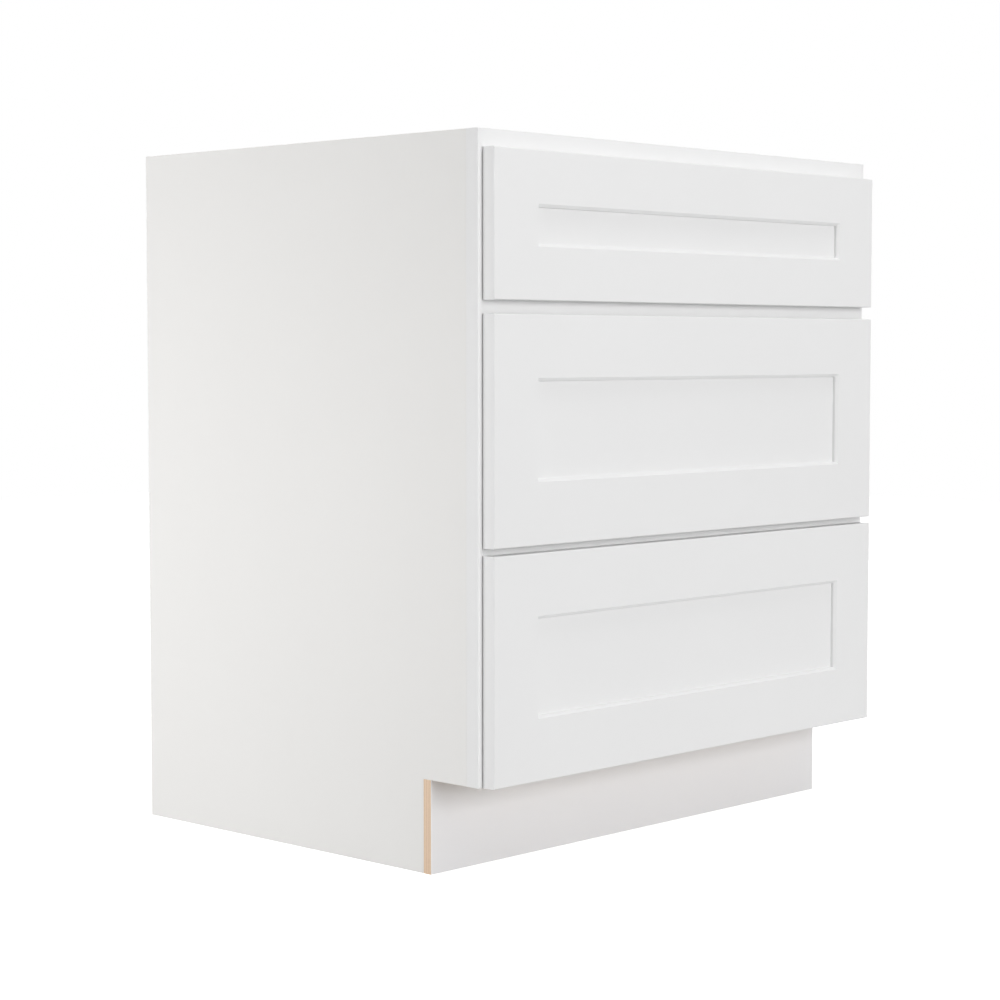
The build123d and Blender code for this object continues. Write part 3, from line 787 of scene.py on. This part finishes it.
def cage_windows(work, low, high, plastic):
    """Sinks a window for each roller into both sides of one cage's walls."""
    pitch = (high.y - low.y) / plastic.cells

    def own_faces():
        return [face for face in work.faces if is_within(face.calc_center_median(), low, high)]

    for index in range(1, plastic.cells):
        cut_faces(work, own_faces(), BACK * (low.y + index * pitch), BACK)
    least = 3 * pitch * plastic.cage_wall  # a cell on a wall's narrow edge is much smaller than this
    cells = [face for face in own_faces() if abs(face.normal.y) < ASIDE and face.calc_area() > least]
    steps = ((window_border(pitch, plastic), 0.0), (plastic.window_slope, -plastic.window_depth))
    for thickness, depth in steps:
        bmesh.ops.inset_individual(
            work, faces=found(cells, "cell of a cage"), thickness=thickness, depth=depth,
            use_even_offset=True,
        )


# ---- Operators ----
class CABINET_OT_case(Operator):
    """Paints the side panels, toe board and face frame, and finishes the floor and back panels"""

    bl_idname = "cabinet.case"
    bl_label = "Case"

    def execute(self, context):
        scene = context.scene
        wood = scene.cabinet_wood
        sides = side_finish(scene)
        for side in SIDES:
            dress(f"{side}_side_panel", sides)
        dress("toe_board", toe_finish(scene))
        upright = painted_frame("frame_stile_finish", scene, "Z")
        level = painted_frame("frame_rail_finish", scene, "X")
        for side in SIDES:
            dress(f"frame_{side}_stile", upright)
        for node in ("frame_top_rail", "frame_middle_rails", "frame_bottom_rail"):
            dress(node, level)
        floor_finish = veneer_panel("floor_panel_finish", wood, "X", "Z", floor_underside, panel_thickness)
        dress("floor_panel", floor_finish)
        back_front = cabinet_back - panel_thickness
        dress("back_panel", veneer_panel("back_panel_finish", wood, "Z", "Y", back_front, panel_thickness))
        for node in ("left_side_panel", "right_side_panel", "toe_board", "floor_panel", "back_panel"):
            ease_edges(node, scene.cabinet_paint.arris)
        return {"FINISHED"}


class CABINET_OT_fronts(Operator):
    """Paints the five-piece drawer fronts"""

    bl_idname = "cabinet.fronts"
    bl_label = "Drawer fronts"

    def execute(self, context):
        paint = context.scene.cabinet_paint
        finish = painted("front_finish", paint, paint.front)
        for drawer in DRAWERS:
            for part in ("stiles", "rails", "panel"):
                dress(f"{drawer}_front_{part}", finish)
        return {"FINISHED"}


class CABINET_OT_boxes(Operator):
    """Finishes the dovetailed boxes and their plywood bottoms"""

    bl_idname = "cabinet.boxes"
    bl_label = "Drawer boxes"

    def execute(self, context):
        wood = context.scene.cabinet_wood
        lengthwise = solid_board("box_side_finish", wood, "Y")
        crosswise = solid_board("box_end_finish", wood, "X")
        for drawer in DRAWERS:
            for part in ("left_side", "right_side"):
                dress(f"{drawer}_box_{part}", lengthwise)
            for part in ("front", "back"):
                dress(f"{drawer}_box_{part}", crosswise)
            for part in ("left_side", "right_side", "front", "back"):
                ease_edges(f"{drawer}_box_{part}", wood.joint_edge)
            node = f"{drawer}_box_bottom"
            low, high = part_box(node)
            dress(node, veneer_panel(f"{node}_finish", wood, "X", "Z", low.z, high.z - low.z))
        return {"FINISHED"}


class CABINET_OT_runners(Operator):
    """Finishes the three profiles of each runner and rounds the sheet's edges"""

    bl_idname = "cabinet.runners"
    bl_label = "Runners"

    def execute(self, context):
        metal = context.scene.cabinet_metal
        strip = rolled_zinc("runner_finish", metal, "Y")
        nodes = ["cabinet_runners"]
        for drawer in DRAWERS:
            nodes += [f"{drawer}_drawer_runners", f"{drawer}_intermediate_runners"]
        for node in nodes:
            dress(node, strip)
            ease_edges(node, metal.bend)
        return {"FINISHED"}


class CABINET_OT_cages(Operator):
    """Models the roller cages with their windows and rollers"""

    bl_idname = "cabinet.cages"
    bl_label = "Roller cages"

    def execute(self, context):
        plastic = context.scene.cabinet_plastic
        nylon = moulded("cage_finish", plastic, plastic.nylon, roughness=0.42)
        smooth = moulded("roller_finish", plastic, plastic.rollers, roughness=0.3)
        for drawer in DRAWERS:
            node = f"{drawer}_roller_cages"
            work = merged_copy(node)
            rollers = bmesh.new()
            for corners in solids_of(node):
                low, high = box_of(corners)
                cage_windows(work, low, high, plastic)
                self.add_rollers(rollers, low, high, plastic)
            body = f"{drawer}_intermediates"
            piece(f"{drawer}_cage_mouldings", work, nylon, body, "nylon", node)
            piece(f"{drawer}_cage_rollers", rollers, smooth, body, "nylon", node)
        return {"FINISHED"}

    def add_rollers(self, work, low, high, plastic):
        """Lays the rollers of one cage into its windows."""
        pitch = (high.y - low.y) / plastic.cells
        ends = window_border(pitch, plastic) + plastic.roller_gap
        radius = plastic.roller_radius
        for place, way, span in cage_rows(low, high, plastic.cage_wall):
            for index in range(plastic.cells):
                place.y = low.y + (index + 0.5) * pitch
                bmesh.ops.create_cone(
                    work, cap_ends=True, segments=10, radius1=radius, radius2=radius, depth=span - 2 * ends,
                    matrix=placed(place, way),
                )


class CABINET_OT_braces(Operator):
    """Models the corner braces with rims, gussets and rounded noses"""

    bl_idname = "cabinet.braces"
    bl_label = "Corner braces"

    def execute(self, context):
        plastic = context.scene.cabinet_plastic
        work = merged_copy("corner_braces")
        top = max(corner.co.z for corner in work.verts)
        noses = []
        for edge in work.edges:
            is_upright = abs(edge.verts[0].co.z - edge.verts[1].co.z) > edge.calc_length() * LEVEL
            if is_upright and folded(edge, *NOSE_ANGLES):
                noses.append(edge)
        round_edges(work, found(noses, "brace nose"), plastic.brace_nose, segments=6)
        plates = []
        for face in work.faces:
            if face.normal.z > LEVEL and face.calc_center_median().z > top - MERGE:
                plates.append(face)
        for thickness, depth in ((plastic.rim, 0.0), (plastic.rim_slope, -plastic.rim_height)):
            bmesh.ops.inset_region(
                work, faces=found(plates, "brace plate"), thickness=thickness, depth=depth,
                use_boundary=True, use_even_offset=True,
            )
        soften(work, plastic.arris)
        brace_gussets(work, plastic)
        finish = moulded("brace_finish", plastic, plastic.moulding, roughness=0.5)
        piece("corner_brace_mouldings", work, finish, "cabinet", "moulded_plastic", "corner_braces")
        return {"FINISHED"}


class CABINET_OT_clips(Operator):
    """Rounds the rear brackets and the lock clips as mouldings"""

    bl_idname = "cabinet.clips"
    bl_label = "Brackets and clips"

    def execute(self, context):
        plastic = context.scene.cabinet_plastic
        finish = moulded("clip_finish", plastic, plastic.moulding, roughness=0.5)
        brackets = merged_copy("rear_brackets")
        self.round_corners(brackets, plastic)
        soften(brackets, plastic.arris)
        piece("rear_bracket_mouldings", brackets, finish, "cabinet", "moulded_plastic", "rear_brackets")
        for drawer in DRAWERS:
            clips = merged_copy(f"{drawer}_lock_clips")
            soften(clips, plastic.arris)
            name = f"{drawer}_clip_mouldings"
            piece(name, clips, finish, f"{drawer}_drawer", "moulded_plastic", f"{drawer}_lock_clips")
        return {"FINISHED"}

    def round_corners(self, work, plastic):
        """Rounds the corners of the plates, whose edges are as long as a plate is thick."""
        corners = []
        for edge in work.edges:
            is_short = abs(edge.calc_length() - plastic.bracket_wall) < NEAR
            if is_short and edge.is_convex and folded(edge, SHARP_ANGLE):
                corners.append(edge)
        round_edges(work, found(corners, "bracket corner"), plastic.bracket_corner, segments=4)


class CABINET_OT_levers(Operator):
    """Models the release levers with notched tips"""

    bl_idname = "cabinet.levers"
    bl_label = "Release levers"

    def execute(self, context):
        plastic = context.scene.cabinet_plastic
        finish = moulded("lever_finish", plastic, plastic.lever, roughness=0.45)
        for drawer in DRAWERS:
            for side in SIDES:
                node = f"{drawer}_{side}_release_lever"
                work = merged_copy(node)
                self.notch_tip(work, plastic, side)
                soften(work, plastic.arris)
                name = f"{drawer}_{side}_lever_moulding"
                piece(name, work, finish, f"{drawer}_{side}_lever", "lever_plastic", node)
        return {"FINISHED"}

    def notch_tip(self, work, plastic, side):
        """Sinks the narrow faces round the lever's inner end, which leaves ribs between them."""
        low, high = box_of([corner.co for corner in work.verts])
        tip = high.x if side == "left" else low.x
        notches = []
        for face in work.faces:
            is_near = abs(face.calc_center_median().x - tip) < plastic.grip_reach
            if is_near and abs(face.normal.z) < ASIDE and face.calc_area() < (high.z - low.z) ** 2:
                notches.append(face)
        bmesh.ops.inset_individual(
            work, faces=found(notches, "narrow face for a notch"), thickness=plastic.grip_slope,
            depth=-plastic.grip_depth, use_even_offset=True,
        )


class CABINET_OT_fasteners(Operator):
    """Models the pan-head screws and the domed bumper pads"""

    bl_idname = "cabinet.fasteners"
    bl_label = "Screws and pads"

    def execute(self, context):
        metal = context.scene.cabinet_metal
        finish = plated("screw_finish", metal)
        nodes = [("assembly_screws", "cabinet")]
        nodes += [(f"{drawer}_drawer_screws", f"{drawer}_drawer") for drawer in DRAWERS]
        for node, body in nodes:
            work = bmesh.new()
            for top, way, size in screw_places(node):
                add_part(work, pan_screw(metal, size), top, way)
            piece(node.replace("screws", "pan_screws"), work, finish, body, "zinc_screws", node)
        self.add_pads(context.scene.cabinet_plastic)
        return {"FINISHED"}

    def add_pads(self, plastic):
        """Puts a domed pad in the place of each flat one."""
        work = bmesh.new()
        for corners in solids_of("bumper_pads"):
            low, high = box_of(corners)
            crown = (low + high) / 2
            crown.y = low.y
            add_part(work, bumper_pad((high.x - low.x) / 2, high.y - low.y), crown, BACK)
        finish = clear_pad(plastic, roughness=0.2)
        piece("domed_bumper_pads", work, finish, "cabinet", "clear_pads", "bumper_pads")


def camera_rays(shade):
    """Whether a ray comes from the camera, a reflection or a clear part: 1 or 0."""
    kinds = ("Is Camera Ray", "Is Glossy Ray", "Is Transmission Ray")
    camera, reflection, clear = shade.node("ShaderNodeLightPath", outputs=kinds)
    return shade.maths("MAXIMUM", shade.maths("MAXIMUM", camera, reflection), clear)


def lamp(name, power, size, place, target):
    """A soft square lamp that looks at a point."""
    data = bpy.data.lights.new(name, "AREA")
    data.shape = "SQUARE"
    data.size = size
    data.energy = power
    made = bpy.data.objects.new(name, data)
    made.location = place
    made.rotation_euler = (Vector(target) - Vector(place)).to_track_quat("-Z", "Y").to_euler()
    bpy.context.scene.collection.objects.link(made)


class CABINET_OT_stage(Operator):
    """Sets up the floor, the lights and the camera"""

    bl_idname = "cabinet.stage"
    bl_label = "Stage"

    def execute(self, context):
        scene = context.scene
        stage = scene.cabinet_stage
        self.make_floor(stage)
        self.make_world(scene, stage)
        middle = (0.0, 0.0, 0.44)
        side_foot = (-0.4, 0.2, 0.12)
        lamp("key_lamp", stage.key_power, size=2.8, place=(-0.5, -6.6, 1.7), target=middle)
        lamp("side_lamp", stage.side_power, size=1.1, place=(-2.4, 1.0, 0.4), target=side_foot)
        lamp("top_lamp", stage.top_power, size=1.6, place=(-0.2, -0.9, 3.5), target=middle)
        lamp("right_lamp", stage.right_power, size=1.6, place=(3.2, 1.8, 1.3), target=middle)
        view = bpy.data.cameras.new("camera")
        view.sensor_width = 36.0
        view.lens = stage.lens
        view.clip_end = 60.0
        camera = bpy.data.objects.new("camera", view)
        camera.location = stage.camera_place
        camera.rotation_euler = (math.pi / 2 - stage.tilt, 0.0, -stage.heading)
        scene.collection.objects.link(camera)
        scene.camera = camera
        scene.view_settings.view_transform = "Standard"
        return {"FINISHED"}

    def make_floor(self, stage):
        """A plain pale floor that the camera sees as white except in the cabinet's shadow."""
        work = bmesh.new()
        bmesh.ops.create_grid(work, x_segments=1, y_segments=1, size=stage.floor_size / 2)
        mesh = bpy.data.meshes.new("floor")
        work.to_mesh(mesh)
        work.free()
        floor = bpy.data.objects.new("floor", mesh)
        bpy.context.scene.collection.objects.link(floor)
        shade = Shade("floor_finish")
        matte = shade.node("ShaderNodeBsdfDiffuse", inputs={"Color": (*stage.floor, 1.0)})
        glow = shade.node("ShaderNodeEmission", inputs={"Strength": camera_rays(shade) * stage.floor_glow})
        both = shade.node("ShaderNodeAddShader", inputs={0: matte, 1: glow})
        shade.node("ShaderNodeOutputMaterial", inputs={"Surface": both}, outputs=())
        mesh.materials.append(shade.owner)

    def make_world(self, scene, stage):
        """Even light from all round, and plain white for the camera and for reflections."""
        shade = Shade("studio", "worlds")
        white = (1.0, 1.0, 1.0, 1.0)
        even = shade.node("ShaderNodeBackground", inputs={"Color": white, "Strength": stage.sky})
        plain = shade.node("ShaderNodeBackground", inputs={"Color": white})
        blend = shade.node("ShaderNodeMixShader", inputs={0: camera_rays(shade), 1: even, 2: plain})
        shade.node("ShaderNodeOutputWorld", inputs={"Surface": blend}, outputs=())
        scene.world = shade.owner


STEPS = (
    CABINET_OT_case,
    CABINET_OT_fronts,
    CABINET_OT_boxes,
    CABINET_OT_runners,
    CABINET_OT_cages,
    CABINET_OT_braces,
    CABINET_OT_clips,
    CABINET_OT_levers,
    CABINET_OT_fasteners,
    CABINET_OT_stage,
)
SETTINGS = {
    "cabinet_paint": PaintSettings,
    "cabinet_wood": WoodSettings,
    "cabinet_metal": MetalSettings,
    "cabinet_plastic": PlasticSettings,
    "cabinet_stage": StageSettings,
}


class CABINET_PT_steps(Panel):
    """Lists the steps that finish the cabinet"""

    bl_idname = "CABINET_PT_steps"
    bl_label = "Cabinet finish"
    bl_space_type = "VIEW_3D"
    bl_region_type = "UI"
    bl_category = "Cabinet"

    def draw(self, context):
        for step in STEPS:
            self.layout.operator(step.bl_idname)


def register():
    for kind in (*SETTINGS.values(), *STEPS, CABINET_PT_steps):
        bpy.utils.register_class(kind)
    for name, kind in SETTINGS.items():
        setattr(bpy.types.Scene, name, PointerProperty(type=kind))


def unregister():
    for name in SETTINGS:
        delattr(bpy.types.Scene, name)
    for kind in (CABINET_PT_steps, *reversed(STEPS), *reversed(list(SETTINGS.values()))):
        bpy.utils.unregister_class(kind)


def main():
    register()
    for step in STEPS:
        group, name = step.bl_idname.split(".")
        getattr(getattr(bpy.ops, group), name)()


if __name__ == "__main__":
    main()
